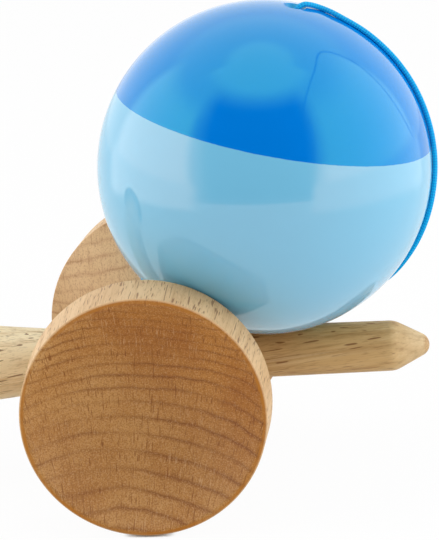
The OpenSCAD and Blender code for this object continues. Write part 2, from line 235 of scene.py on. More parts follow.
# Tones of the wood: its sides, where the fibres are cut across, the spike, whose darker tones are painted
# shade under the ball, and the dishes of the side cups
Tones = namedtuple("Tones", "light middle dark")
HANDLE_SIDE = Tones(srgb(250, 230, 188), srgb(236, 208, 160), srgb(196, 154, 98))
HANDLE_END = Tones(srgb(196, 160, 112), srgb(184, 146, 96), srgb(140, 98, 52))
SPIKE_SHADE_TONES = Tones(srgb(210, 172, 115), srgb(192, 148, 88), srgb(144, 97, 42))
CROSS_SIDE = Tones(srgb(224, 190, 143), srgb(209, 171, 123), srgb(180, 134, 82))
CROSS_END = Tones(srgb(212, 175, 128), srgb(200, 161, 112), srgb(154, 104, 56))
CROSS_DISH = Tones(srgb(196, 145, 80), srgb(176, 120, 54), srgb(128, 72, 18))
FLECK = srgb(116, 62, 18)
LIP = srgb(176, 110, 24)
# Painted shade: a browner tint for the upper right of the dishes, where their rims shade them
DISH_PAINTED_SHADE = (0.87, 0.71, 0.44, 1.0)

# Noises in the wood: size across, across or outward, and along the fibres, then detail and roughness
Noise = namedtuple("Noise", "size detail roughness", defaults=(0.0, 0.5))
SLOW = Noise((30, 30, 120), 1.0)
RIPPLE = Noise((4, 4, 60), 2.0)
SPECKLE = Noise((0.24, 0.24, 0.9), 1.0, 0.6)
BOLDNESS = Noise((16, 5, 80), 1.0)
HATCH = Noise((0.3, 2.5, 5), 2.0)
STROKE = Noise((0.2, 2.4, 8))
STROKE_PATCH = Noise((14, 9, 30))
STREAK = Noise((0.7, 0.7, 60), 3.0, 0.6)
PORE = Noise((0.3, 0.3, 3), 2.0, 0.7)
CLOUD = Noise((9, 9, 40), 2.0)

# Marks in the wood: the two levels of a noise between which one comes up, and how strong it gets
Mark = namedtuple("Mark", "levels share")
SIDE_STREAKS = Mark((0.48, 0.75), 0.5)
SPIKE_STREAKS = Mark((0.48, 0.72), 0.5)
PALE_STREAKS = Mark((0.46, 0.3), 0.28)
HATCHED = Mark((0.5, 0.7), 0.2)
DARK_SPECKS = Mark((0.5, 0.7), 0.45)
PALE_SPECKS = Mark((0.5, 0.3), 0.32)
DARK_STROKES = Mark((0.31, 0.22), 0.8)
PALE_STROKES = Mark((0.66, 0.8), 0.45)
PORES = Mark((0.5, 0.72), 0.4)

# Flecks are marks where rays end, with their own size and the share that is left on cut fibres
Flecks = namedtuple("Flecks", "size levels share on_ends")
SPINDLES = Flecks((0.2, 0.45, 3.6), (0.65, 0.74), 0.7, 0.4)
DASHES = Flecks((0.35, 0.6, 5), (0.7, 0.76), 0.78, 0.0)

# Growth rings: how far each noise moves them, their tone through a year, and where and how much they fade
SLOW_SWAY = 9
RIPPLE_SWAY = 1.1
SPECKLE_SWAY = 0.35
YEAR = ((0.0, 0.35), (0.18, 0.0), (0.7, 0.08), (0.92, 1.0), (1.0, 0.35))
BOLD = (0.3, 0.7)
FAINTEST = 0.25
RINGS_ON_SIDE = 0.4
RINGS_ON_SPIKE = 0.65
RINGS_ON_ENDS = 0.85

# Where tones and marks change: with a noise, as the surface faces along the fibres, or by place on the piece
CLOUD_TONES = (0.3, 0.7)
STROKES_HERE = (0.45, 0.7)
END_FACING = (0.3, 0.8)
CUT_FACING = (0.15, 0.5)
OUT_FACING = (0.1, 0.6)
# Where the painted shade on a dish begins and where it is full, by place across the dish
DISH_PAINTED_SHADE_SPAN = (-6, 20)
END_GRIT = 0.7
FLARE_GRIT = 0.4
# Painted shade on the spike under the ball: where it begins and is full, where it fades, and how much of it
# fades, by place along the handle
SPIKE_SHADE_BEGINS = (4, 14)
SPIKE_SHADE_FADES = (40, 50)
SPIKE_SHADE_FADED_SHARE = 0.55

# Lip of a rim: how far it reaches from the rim's height, and inward and outward from where the edge begins to
# round, how the wood's figure tears its inner side, its patches, and how much paler the round edge is made
LIP_HEIGHT = (0.6, 0.3)
LIP_INNER = (-0.4, -0.2)
LIP_OUTER = (0.15, 0.3)
LIP_RIPPLE = 0.4
LIP_HATCH = 0.6
LIP_PATCHES = (0.2, 0.7)
EDGE_PALING = 0.5

# Kinds of wood: where the tree's middle lay across the fibres, the years' width, how far the fibres rise
Wood = namedtuple(
    "Wood", "pith year_gap side ends flecks lean dish spike rims", defaults=(0.0, None, None, ()))
CROSS_RIMS = ((CUP_R - FRONT_TAPER, FRONT_REACH), (CUP_R - BACK_TAPER, -BACK_REACH))
BASE_RIM = (BASE_CUP_R - BASE_TAPER, -BASE_REACH)
CROSS_WOOD = Wood((-6, -75), 2.7, CROSS_SIDE, CROSS_END, SPINDLES, dish=CROSS_DISH, rims=CROSS_RIMS)
HANDLE_WOOD = Wood((-40, -26), 2.6, HANDLE_SIDE, HANDLE_END, DASHES, 0.12, spike=SPIKE_SHADE_TONES, rims=(BASE_RIM,))
BALL_WOOD = Wood((-50, 30), 2.6, HANDLE_SIDE, HANDLE_END, SPINDLES)
BEAD_WOOD = Wood((-14, 9), 1.8, HANDLE_SIDE, HANDLE_END, SPINDLES)

# Paints of the ball, the tints of their gloss, and the line between them across the ball's axis
LIGHT_PAINT = srgb(119, 193, 227)
DARK_PAINT = srgb(0, 122, 219)
LIGHT_GLOSS = (1.0, 0.65, 0.4, 1)
DARK_GLOSS = (0.2, 1.0, 0.2, 1)
PAINT_LINE = 9.2
PAINT_WAVES = Noise((1.2, 1.2, 1.2), 2.0)
PAINT_WAVER = 0.12
PAINT_BLUR = 0.05

# String and tape
# Braid colours over the string's own blue: the darker one is painted shade in the valleys, the lighter one
# painted highlight on the crowns
BRAID_VALLEY_SHADE = srgb(0, 140, 218)
BRAID_CROWN_LIGHT = srgb(10, 190, 236)
BRAID_SHINE = srgb(40, 200, 238)
BRAID_CROWN = (-0.6, 0.7)
BRAID_FIBRE = Noise((1 / 60, 1 / 6, 1), 1.0)
SHINING = Mark((0.5, 0.8), 0.3)
KNOT_LOW = srgb(0, 120, 208)
KNOT_HIGH = srgb(40, 182, 236)
KNOT_FIBRE = Noise((0.25, 0.25, 0.6), 2.0)
KNOT_CROWN = (0.35, 0.7)
TAPE_LOW = srgb(214, 212, 204)
TAPE_HIGH = srgb(240, 239, 233)
TAPE_CROWN = (-0.5, 0.5)
TAPE_THREADS = 24

# Table: its cloth, how white it is to the camera, and where it is dark under what lies on it
TABLE_HALF = 4000
TABLE_TONE = grey(0.86)
TABLE_WHITE = 0.96
CONTACT_REACH = 0.9
CONTACT_LIGHT = (0.1, 0.6)
CONTACT_SAMPLES = 8

# Light: the world's level, and panels on a dome round the ball. A panel has the level of its light, how far
# that fades in from its sides and ends, its two heights and, at each, its two sides in degrees as the ball
# sees them, its distance from the ball, and whether only gloss shows it.
FILL = 0.53
Panel = namedtuple("Panel", "name level fades heights low_sides high_sides reach gloss_only")
PANELS = (
    Panel("softbox_left", 2.4, (0.14, 0.2), (-24, 52), (-124, -36), (-124, -54), 600, False),
    Panel("softbox_right", 2.2, (0.06, 0.3), (-18, 60), (28, 134), (48, 130), 600, False),
    Panel("left_foot", 1.9, (0.14, 0.25), (-16, 4), (-124, -36), (-124, -38), 215, True),
    Panel("right_foot", 1.6, (0.06, 0.25), (-19, 4), (28, 134), (33, 133), 180, True),
    Panel("softbox_top", 2.5, (0, 0.3), (67, 113), (-90, 90), (-90, 90), 600, False),
    Panel("top_cloth", 2.2, (0, 0.22), (58, 110), (-90, 90), (-90, 90), 590, True),
    Panel("tent_roof", 1.6, (0, 0.1), (35, 145), (-90, 90), (-90, 90), 700, True),
    Panel("tent_walls", 1.3, (0, 0), (-6, 60), (20, 340), (20, 340), 800, True),
    Panel("dark_room", 0.0, (0.2, 0.19), (-20, 66), (-46, 44), (-66, 64), 360, True))

# A seam of the light tent, by height and side in degrees
SEAM_LEVEL = 0.5
SEAM_FADES = (0.4, 0.02)
SEAM_W = 14
SEAM_REACH = 570
SEAM_STEP = 10
SEAM_WAYS = (
    (-12, 26), (5, 27), (17, 29), (33, 34), (47, 43), (57.5, 63), (61, 96), (55, 128),
    (39, 129), (26, 126), (13, 125), (1, 128), (-8, 136))


class Shader:
    """Nodes of a material or a world. An input is a number, a tuple or another node's output."""

    def __init__(self, name, home=bpy.data.materials):
        self.block = home.new(name)
        self.block.use_nodes = True
        self.tree = self.block.node_tree
        self.tree.nodes.clear()

    def add(self, kind, inputs=None, **settings):
        node = self.tree.nodes.new("ShaderNode" + kind)
        for key, value in settings.items():
            setattr(node, key, value)
        for key, value in (inputs or {}).items():
            self.put(node.inputs[key], value)
        return node

    def put(self, socket, value):
        if isinstance(value, bpy.types.NodeSocket):
            self.tree.links.new(value, socket)
        else:
            socket.default_value = value

    def math(self, operation, a, b=0.0):
        return self.add("Math", {0: a, 1: b}, operation=operation).outputs[0]

    def plus(self, a, b):
        return self.math("ADD", a, b)

    def minus(self, a, b):
        return self.math("SUBTRACT", a, b)

    def times(self, a, b):
        return self.math("MULTIPLY", a, b)

    def absolute(self, a):
        return self.math("ABSOLUTE", a)

    def length(self, a, b):
        return self.math("SQRT", self.plus(self.times(a, a), self.times(b, b)))

    def join(self, x, y, z):
        return self.add("CombineXYZ", {0: x, 1: y, 2: z}).outputs[0]

    def parts(self, vector):
        return self.add("SeparateXYZ", {0: vector}).outputs

    def place(self):
        """The point on the piece in its own axes, in millimetres, and its three parts."""
        coords = self.add("TexCoord").outputs["Object"]
        point = self.add("VectorMath", {0: coords, "Scale": 1 / MM}, operation="SCALE").outputs[0]
        return point, self.parts(point)

    def spread(self):
        """The surface's own coordinates, as three parts of which the last is empty."""
        return self.parts(self.add("TexCoord").outputs["UV"])

    def own_normal(self):
        """The surface's direction in the piece's own axes, as three parts."""
        normal = self.add("NewGeometry").outputs["Normal"]
        turned = self.add(
            "VectorTransform", {0: normal}, vector_type="NORMAL", convert_from="WORLD", convert_to="OBJECT")
        return self.parts(turned.outputs[0])

    def noise(self, point, size, detail=0.0, roughness=0.5):
        """Noise that varies over the three lengths of size."""
        scale = [1 / n for n in size]
        vector = self.add("VectorMath", {0: point, 1: scale}, operation="MULTIPLY").outputs[0]
        inputs = {"Vector": vector, "Scale": 1.0, "Detail": detail, "Roughness": roughness}
        return self.add("TexNoise", inputs).outputs["Fac"]

    def step(self, value, low, high):
        """0 where value is at low, 1 where it is at high, eased in between."""
        inputs = {"Value": value, "From Min": low, "From Max": high}
        return self.add("MapRange", inputs, interpolation_type="SMOOTHSTEP").outputs["Result"]

    def mix(self, factor, a, b, kind="MIX"):
        node = self.add("Mix", data_type="RGBA", blend_type=kind)
        for index, value in ((0, factor), (6, a), (7, b)):
            self.put(node.inputs[index], value)
        return node.outputs[2]

    def marked(self, colour, value, mark, ink, strength=1.0):
        """The colour with ink on it where a noise's value brings a mark up."""
        share = self.times(self.step(value, *mark.levels), mark.share)
        return self.mix(self.times(share, strength), colour, ink)

    def ramp(self, factor, stops):
        node = self.add("ValToRGB", {0: factor})
        elements = node.color_ramp.elements
        while len(elements) < len(stops):
            elements.new(1.0)
        for element, (at, colour) in zip(elements, stops):
            element.position = at
            element.color = colour
        return node.outputs[0]

    def bump(self, height, strength, distance):
        inputs = {"Height": height, "Strength": strength, "Distance": distance * MM}
        return self.add("Bump", inputs).outputs[0]

    def seen_rays(self):
        """1 for rays that show the background: from the camera, off gloss or through clear things."""
        path = self.add("LightPath").outputs
        seen = self.math("MAXIMUM", path["Is Camera Ray"], path["Is Glossy Ray"])
        return self.math("MAXIMUM", seen, path["Is Transmission Ray"])

    def shared(self, share, a, b):
        """One surface that turns into another by a share."""
        return self.add("MixShader", {0: share, 1: a.outputs[0], 2: b.outputs[0]})

    def end(self, surface, output="OutputMaterial"):
        """Ends the nodes in a surface, and gives the material or world."""
        self.add(output, {0: surface.outputs[0]})
        return self.block

    def end_principled(self, inputs):
        return self.end(self.add("BsdfPrincipled", inputs))


class Beech(Shader):
    """Beech of one kind, with its fibres along the piece's own Z."""

    def __init__(self, name, wood):
        super().__init__(name)
        self.wood = wood
        point, (self.x, self.y, self.z) = self.place()
        _, _, self.facing = self.own_normal()
        risen = self.minus(self.y, self.times(self.z, wood.lean))
        self.grain = self.join(self.x, risen, self.z)
        self.ripple = self.noise(self.grain, *RIPPLE)
        self.speckle = self.noise(point, *SPECKLE)
        self.streak = self.noise(self.grain, *STREAK)
        self.pore = self.noise(self.grain, *PORE)
        self.cloud = self.noise(self.grain, *CLOUD)

        # Rings go round the pith, and rays are thin sheets that run out from it
        off_x = self.minus(self.x, wood.pith[0])
        off_y = self.minus(risen, wood.pith[1])
        radius = self.length(off_x, off_y)
        middle_r = math.hypot(*wood.pith)
        self.ring = self.rings(radius, middle_r)
        round_pith = self.times(self.math("ARCTAN2", off_x, off_y), middle_r)
        self.polar = self.join(round_pith, radius, self.z)
        self.hatch = self.noise(self.polar, *HATCH)
        self.stroke = self.noise(self.polar, *STROKE)

    def rings(self, radius, middle_r):
        """Growth rings round the pith, which waver slowly, narrow outward and are bolder in places."""
        slow = self.noise(self.grain, *SLOW)
        sway = self.plus(self.times(slow, SLOW_SWAY), self.times(self.ripple, RIPPLE_SWAY))
        sway = self.plus(sway, self.times(self.speckle, SPECKLE_SWAY))
        wavered = self.plus(radius, sway)
        years = self.math("DIVIDE", self.times(wavered, wavered), 2 * self.wood.year_gap * middle_r)
        ring = self.ramp(self.math("FRACT", years), [(at, grey(level)) for at, level in YEAR])
        bold = self.step(self.noise(self.grain, *BOLDNESS), *BOLD)
        return self.times(ring, self.plus(FAINTEST, self.times(bold, 1 - FAINTEST)))

    def toned(self, tones, ring_share):
        """Clouds of the light and the middle tone, with growth rings of the dark one."""
        ground = self.ramp(self.cloud, list(zip(CLOUD_TONES, (tones.light, tones.middle))))
        return self.mix(self.times(self.ring, ring_share), ground, tones.dark)

    def sides(self):
        """Colour along the fibres. The spike has darker tones of its own as painted shade under the ball,
        which grow paler toward its point.
        """
        side, spike = self.wood.side, self.wood.spike
        colour = self.toned(side, RINGS_ON_SIDE)
        colour = self.marked(colour, self.streak, SIDE_STREAKS, side.dark)
        if not spike:
            return colour
        # Painted shade: the spike takes darker tones where it lies under the ball
        darker = self.toned(spike, RINGS_ON_SPIKE)
        darker = self.marked(darker, self.streak, SPIKE_STREAKS, spike.dark)
        darker = self.marked(darker, self.streak, PALE_STREAKS, side.middle)
        paler = self.times(self.step(self.z, *SPIKE_SHADE_FADES), SPIKE_SHADE_FADED_SHARE)
        return self.mix(self.minus(self.step(self.z, *SPIKE_SHADE_BEGINS), paler), colour, darker)

    def ends(self):
        """Colour where the fibres are cut across. Dishes have tones of their own, with painted shade on their
        upper right, where their rims shade them.
        """
        wood = self.wood
        colour = self.toned(wood.ends, RINGS_ON_ENDS)
        deepest = wood.ends.dark
        grit = END_GRIT
        if wood.dish:
            dish = self.toned(wood.dish, RINGS_ON_ENDS)
            # Painted shade: the dish grows browner toward its upper right, where its rim shades it
            painted_shade = self.step(self.plus(self.x, self.y), *DISH_PAINTED_SHADE_SPAN)
            dish = self.mix(painted_shade, dish, DISH_PAINTED_SHADE, "MULTIPLY")
            outward = self.step(self.times(self.facing, self.math("SIGN", self.z)), *OUT_FACING)
            colour = self.mix(outward, colour, dish)
            deepest = wood.dish.dark
            grit = self.plus(FLARE_GRIT, self.times(outward, 1 - FLARE_GRIT))
        strokes_here = self.step(self.noise(self.grain, *STROKE_PATCH), *STROKES_HERE)
        colour = self.marked(colour, self.hatch, HATCHED, deepest)
        colour = self.marked(colour, self.speckle, DARK_SPECKS, deepest, grit)
        colour = self.marked(colour, self.speckle, PALE_SPECKS, wood.side.middle)
        colour = self.marked(colour, self.stroke, PALE_STROKES, wood.side.middle, strokes_here)
        return self.marked(colour, self.stroke, DARK_STROKES, deepest, grit)

    def flecked(self, colour):
        """The colour with flecks and pores. Flecks, and the handle's pores, show less on cut fibres."""
        wood = self.wood
        cut = self.step(self.absolute(self.facing), *CUT_FACING)
        kept = self.minus(1.0, self.times(cut, 1 - wood.flecks.on_ends))
        colour = self.marked(colour, self.noise(self.polar, wood.flecks.size), wood.flecks, FLECK, kept)
        return self.marked(colour, self.pore, PORES, wood.ends.dark, kept if wood.spike else 1.0)

    def lipped(self, colour, rim_r, rim_z):
        """The colour with a rim's lip, which is darker and warmer, and its round edge, which is paler."""
        edge_r = rim_r - RIM_EDGE
        inner_from, inner_to = (edge_r + off for off in LIP_INNER)
        outer_from, outer_to = (edge_r + off for off in LIP_OUTER)
        from_axis = self.length(self.x, self.y)
        torn = self.plus(self.times(self.ripple, LIP_RIPPLE), self.times(self.hatch, LIP_HATCH))
        ragged = self.plus(from_axis, self.minus(torn, 0.5))
        level = self.step(self.absolute(self.minus(self.z, rim_z)), *LIP_HEIGHT)
        inner = self.step(ragged, inner_from, inner_to)
        outer = self.step(from_axis, outer_to, outer_from)
        line = self.times(level, self.times(inner, outer))
        colour = self.mix(self.times(line, self.step(self.cloud, *LIP_PATCHES)), colour, LIP)
        paled_edge = self.times(level, self.step(from_axis, outer_from, outer_to))
        return self.mix(self.times(paled_edge, EDGE_PALING), colour, self.wood.side.middle)


def beech(name, wood):
    s = Beech(name, wood)
    end = s.step(s.absolute(s.facing), *END_FACING)
    colour = s.flecked(s.mix(end, s.sides(), s.ends()))
    for rim_r, rim_z in wood.rims:
        colour = s.lipped(colour, rim_r, rim_z)
    return s.end_principled({
        "Base Color": colour, "Roughness": 0.55, "Specular IOR Level": 0.3,
        "Normal": s.bump(s.pore, strength=0.2, distance=0.05)})


def ball_paint(name):
    """Two gloss paints that meet on a line round the ball. The gloss of each has its own tint."""
    s = Shader(name)
    point, (_, _, height) = s.place()
    wave = s.minus(s.noise(point, *PAINT_WAVES), 0.5)
    edge = s.plus(s.minus(height, PAINT_LINE), s.times(wave, PAINT_WAVER))
    upper = s.step(edge, -PAINT_BLUR, PAINT_BLUR)
    return s.end_principled({
        "Base Color": s.mix(upper, LIGHT_PAINT, DARK_PAINT), "Roughness": 0.06, "Specular IOR Level": 1.0,
        "Specular Tint": s.mix(upper, LIGHT_GLOSS, DARK_GLOSS),
        "Normal": s.bump(upper, strength=0.25, distance=0.03)})


def braid(name):
    """Braided polyester, from the tube's own turn and length, with painted shade in the braid's valleys and
    painted highlight on its crowns and on some fibres.
    """
    s = Shader(name)
    u, v, _ = s.spread()
    turn = s.times(u, 2 * math.pi * STRANDS)
    run = s.times(v, 2 * math.pi / BRAID_PITCH)
    weave = s.times(s.math("SINE", s.plus(turn, run)), s.math("SINE", s.minus(turn, run)))
    # Painted shade and highlight: darker in the braid's valleys, lighter on its crowns
    colour = s.mix(s.step(weave, *BRAID_CROWN), BRAID_VALLEY_SHADE, BRAID_CROWN_LIGHT)
    fibre = s.noise(s.join(u, v, 0.0), *BRAID_FIBRE)
    colour = s.marked(colour, fibre, SHINING, BRAID_SHINE)
    return s.end_principled({
        "Base Color": colour, "Roughness": 0.6, "Specular IOR Level": 0.12,
        "Normal": s.bump(fibre, strength=0.3, distance=0.03)})


def drawn_tight(name):
    """The string's fibres where a knot draws them tight."""
    s = Shader(name)
    point, _ = s.place()
    fibre = s.noise(point, *KNOT_FIBRE)
    colour = s.mix(s.step(fibre, *KNOT_CROWN), KNOT_LOW, KNOT_HIGH)
    return s.end_principled({
        "Base Color": colour, "Roughness": 0.6, "Normal": s.bump(fibre, strength=0.4, distance=0.05)})


def tape(name):
    """Soft off-white tape with a plain weave."""
    s = Shader(name)
    _, (x, y, z) = s.place()
    across = s.math("SINE", s.times(x, TAPE_THREADS))
    along = s.math("SINE", s.times(s.plus(y, z), TAPE_THREADS))
    weave = s.times(across, along)
    colour = s.mix(s.step(weave, *TAPE_CROWN), TAPE_LOW, TAPE_HIGH)
    return s.end_principled({
        "Base Color": colour, "Roughness": 0.8, "Normal": s.bump(weave, strength=0.4, distance=0.05)})


def axes_at(origin, z_way, y_way):
    """Matrix that puts a shape at origin with its Z along z_way and its Y near y_way."""
    z = Vector(z_way).normalized()
    x = Vector(y_way).cross(z).normalized()
    y = z.cross(x)
    return Matrix.Translation(origin) @ Matrix((x, y, z)).transposed().to_4x4()


def toy_point(x, y, z):
    """A place in the toy's own directions, from its crossing, in metres of the frame."""
    return CROSSING + MM * (x * HANDLE_WAY + y * BACK_WAY + z * TOY_UP)


def in_mm(place):
    return np.array(place) / MM


def unit(v):
    return v / np.linalg.norm(v)


def square_to(v, way):
    return unit(v - np.dot(v, way) * way)


def turns_round(count):
    return np.linspace(0, 2 * math.pi, count, endpoint=False)


def between(start, end, steps):
    """Points at even steps from start to end, without the start."""
    return [tuple(a + (b - a) * t for a, b in zip(start, end)) for t in np.linspace(0, 1, steps + 1)[1:]]


def straight(start, end, steps):
    """Points between two ends, which lie close together near both."""
    shares = (1 - np.cos(np.linspace(0, math.pi, steps + 1))) / 2
    return [tuple(a + (b - a) * t for a, b in zip(start, end)) for t in shares[1:-1]]


def arc(centre, radius, start, end, steps):
    """Points on an arc, from angle start to angle end in degrees."""
    angles = np.radians(np.linspace(start, end, steps + 1))
    return [(centre[0] + radius * math.cos(a), centre[1] + radius * math.sin(a)) for a in angles]


def eased(before, corner, after, reach, steps):
    """Points that ease round a corner, from a short reach before it to the same reach after it."""
    middle = np.array(corner)
    start, end = (middle + reach * unit(np.array(p) - middle) for p in (before, after))
    shares = np.linspace(0, 1, steps + 1)
    return [tuple((1 - t) ** 2 * start + 2 * t * (1 - t) * middle + t ** 2 * end) for t in shares]


def run_along(path):
    """Length along a path up to each of its places."""
    return np.concatenate([[0], np.cumsum(np.linalg.norm(np.diff(path, axis=0), axis=1))])


def curve_through(points, step):
    """Places at even steps along a smooth curve through the points."""
    p = np.array(points, float)
    p = np.vstack([2 * p[0] - p[1], p, 2 * p[-1] - p[-2]])
    t = np.linspace(0, 1, CURVE_STEPS, endpoint=False)[:, None]
    line = []
    for a, b, c, d in zip(p, p[1:], p[2:], p[3:]):
        square = 2 * a - 5 * b + 4 * c - d
        cube = 3 * b - a - 3 * c + d
        line.append((2 * b + (c - a) * t + square * t ** 2 + cube * t ** 3) / 2)
    line = np.vstack(line + [p[-2:-1]])
    run = run_along(line)
    at = np.linspace(0, run[-1], max(2, round(run[-1] / step) + 1))
    return np.column_stack([np.interp(at, run, line[:, i]) for i in range(3)])


def net(rows, wide, loop_rows=False, loop_wide=False):
    """Four-sided faces between rows of corners. The last row or corner joins the first where they loop."""
    faces = []
    for i in range(rows if loop_rows else rows - 1):
        here, there = i * wide, (i + 1) % rows * wide
        for k in range(wide if loop_wide else wide - 1):
            n = (k + 1) % wide
            faces.append((here + k, here + n, there + n, there + k))
    return faces


def tube_faces(rings, sides):
    """Faces of a tube that is closed at both ends."""
    last = (rings - 1) * sides
    ends = [tuple(range(sides - 1, -1, -1)), tuple(range(last, last + sides))]
    return net(rings, sides, loop_wide=True) + ends


def new_piece(name, vertices, faces, place, materials):
    mesh = bpy.data.meshes.new(name)
    mesh.from_pydata([tuple(MM * c for c in v) for v in vertices], [], faces)
    mesh.validate()
    mesh.update()
    piece = bpy.data.objects.new(name, mesh)
    piece.matrix_world = place
    bpy.context.scene.collection.objects.link(piece)
    for material in materials:
        mesh.materials.append(material)
    return piece


def smooth(piece, sharp=SHARP):
    piece.data.shade_smooth()
    piece.data.set_sharp_from_angle(angle=math.radians(sharp))


def lathe(name, outline, place, materials, around=AROUND, slots=None):
    """Turns an outline of (radius, height) about Z. It starts and ends on the axis, or else it is a loop."""
    on_axis = [r < 1e-6 for r, _ in outline]
    looped = not (on_axis[0] and on_axis[-1])
    vertices, starts = [], []
    for (r, z), single in zip(outline, on_axis):
        starts.append(len(vertices))
        if single:
            vertices.append((0, 0, z))
        else:
            vertices += [(r * math.cos(a), r * math.sin(a), z) for a in turns_round(around)]
    faces, slot_of = [], []
    for i in range(len(outline) if looped else len(outline) - 1):
        j = (i + 1) % len(outline)
        a, b = starts[i], starts[j]
        for k in range(around):
            n = (k + 1) % around
            if on_axis[i]:
                faces.append((a, b + n, b + k))
            elif on_axis[j]:
                faces.append((a + k, a + n, b))
            else:
                faces.append((a + k, a + n, b + n, b + k))
            slot_of.append(slots[i] if slots else 0)
    piece = new_piece(name, vertices, faces, place, materials)
    piece.data.polygons.foreach_set("material_index", slot_of)
    smooth(piece)
    return piece


def apply_modifiers(piece):
    bpy.context.view_layer.update()
    graph = bpy.context.evaluated_depsgraph_get()
    mesh = bpy.data.meshes.new_from_object(piece.evaluated_get(graph))
    piece.modifiers.clear()
    old = piece.data
    piece.data = mesh
    mesh.name = piece.name
    bpy.data.meshes.remove(old)


def carve(piece, cutters):
    """Cuts the cutters out of the piece."""
    for cutter in cutters:
        cut = piece.modifiers.new("cut", "BOOLEAN")
        cut.object = cutter
        cut.operation = "DIFFERENCE"
        cut.solver = "EXACT"
    apply_modifiers(piece)
    for cutter in cutters:
        bpy.data.objects.remove(cutter)
    smooth(piece)


def drill(r1, r2, length, place):
    """Round cutter along Z that starts at the place with radius r1 and ends with radius r2."""
    return lathe("drill", [(0, 0), (r1, 0), (r2, length), (0, length)], place, [], DRILL_AROUND)


def cup(radius, taper, rim, band, tilt):
    """Outline of a cup from the middle of its dish, over its rim and band to where its back begins."""
    rim_r = radius - taper
    inner = rim_r - RIM_LIP
    rise = math.sqrt(DISH_R ** 2 - inner ** 2)
    slope = math.degrees(math.asin(inner / DISH_R))
    bend_r = inner + DISH_EDGE * math.tan(math.radians(slope / 2))
    dish = arc((0, rim + rise), DISH_R, -90, -90 + slope, DISH_STEPS)[:-1]
    lip_bend = arc((bend_r, rim - DISH_EDGE), DISH_EDGE, 90 + slope, 90, LIP_STEPS)
    edge = arc((rim_r - RIM_EDGE, rim - RIM_EDGE), RIM_EDGE, 90, 0, EDGE_STEPS)
    shoulder_at = (radius - SHOULDER_R, rim - band + SHOULDER_R)
    shoulder = arc(shoulder_at, SHOULDER_R, 0, tilt - 90, EDGE_STEPS)
    side = straight(edge[-1], shoulder[0], EDGE_STEPS)
    return [(0.0, dish[0][1])] + dish[1:] + lip_bend + edge + side + shoulder


def side_cup(taper, reach):
    """A cup of the crosspiece, with the flare behind it down to the waist."""
    outline = cup(CUP_R, taper, reach, SIDE_BAND, SIDE_FLARE)
    foot_r, foot_z = outline[-1]
    slope = math.tan(math.radians(SIDE_FLARE))
    turn = math.radians(90 - SIDE_FLARE)
    fillet_gain = WAIST_FILLET * (math.sin(turn) - slope * (1 - math.cos(turn)))
    waist_end = foot_z - slope * (foot_r - WAIST_R) - fillet_gain
    fillet = arc((WAIST_R + WAIST_FILLET, waist_end), WAIST_FILLET, 90 + SIDE_FLARE, 180, 2 * EDGE_STEPS)
    return outline + straight(outline[-1], fillet[0], EDGE_STEPS) + fillet


def base_cup():
    """The cup at the foot of the handle, with the hollow behind it up to the neck."""
    outline = cup(BASE_CUP_R, BASE_TAPER, BASE_REACH, BASE_BAND, 0)
    foot_r, foot_z = outline[-1]
    deep = foot_r - NECK_R
    high = foot_z - NECK_AT
    turns = arc((0, 0), 1, 90, 0, HOLLOW_STEPS)[1:]
    return outline + [(foot_r - deep * x, NECK_AT + high * y) for x, y in turns]


def flipped(outline):
    return [(r, -z) for r, z in reversed(outline)]


def grip_radius(t):
    """Radius of the grip, from the belly at 0 to the seat at 1."""
    ease = 3 * t ** 2 - 2 * t ** 3
    return BELLY_R * (1 - ease) + SEAT_R * ease + HANDLE_TAPER * GRIP_LEN * (t ** 2 - t ** 3)


def neck_radius(t):
    """Radius of the neck, from its thinnest at 0 to the belly at 1."""
    return NECK_R + (BELLY_R - NECK_R) * (1 - math.cos(math.pi * t)) / 2


def handle_outline():
    """Outline of the handle, from the dish of its base cup to the tip of its spike."""
    base = [(r, -z) for r, z in base_cup()]
    neck = [(neck_radius(t), z) for t, z in between((0, -NECK_AT), (1, -BELLY_AT), NECK_STEPS)]
    grip = [(grip_radius(t), z) for t, z in between((0, -BELLY_AT), (1, -SEAT_HALF), GRIP_STEPS)]
    point_at = SPIKE_REACH - POINT_LEN
    tip_at = SPIKE_REACH - TIP_R
    span = (SPIKE_END_R, tip_at - point_at)
    side = math.degrees(math.atan2(*span) - math.asin(TIP_R / math.hypot(*span)))
    seat = between((SEAT_R, -SEAT_HALF), (SPIKE_ROOT_R, SEAT_HALF), 2 * EDGE_STEPS)
    spike = between((SPIKE_ROOT_R, SEAT_HALF), (SPIKE_END_R, point_at), EDGE_STEPS)
    tip = [(r, z) for z, r in arc((tip_at, 0), TIP_R, 90 - side, 0, 2 * EDGE_STEPS)]
    tip[-1] = (0.0, SPIKE_REACH)
    shoulder = eased(spike[-2], spike[-1], tip[0], POINT_EASE, EDGE_STEPS)
    return base + neck + grip + seat + spike[:-1] + shoulder + tip


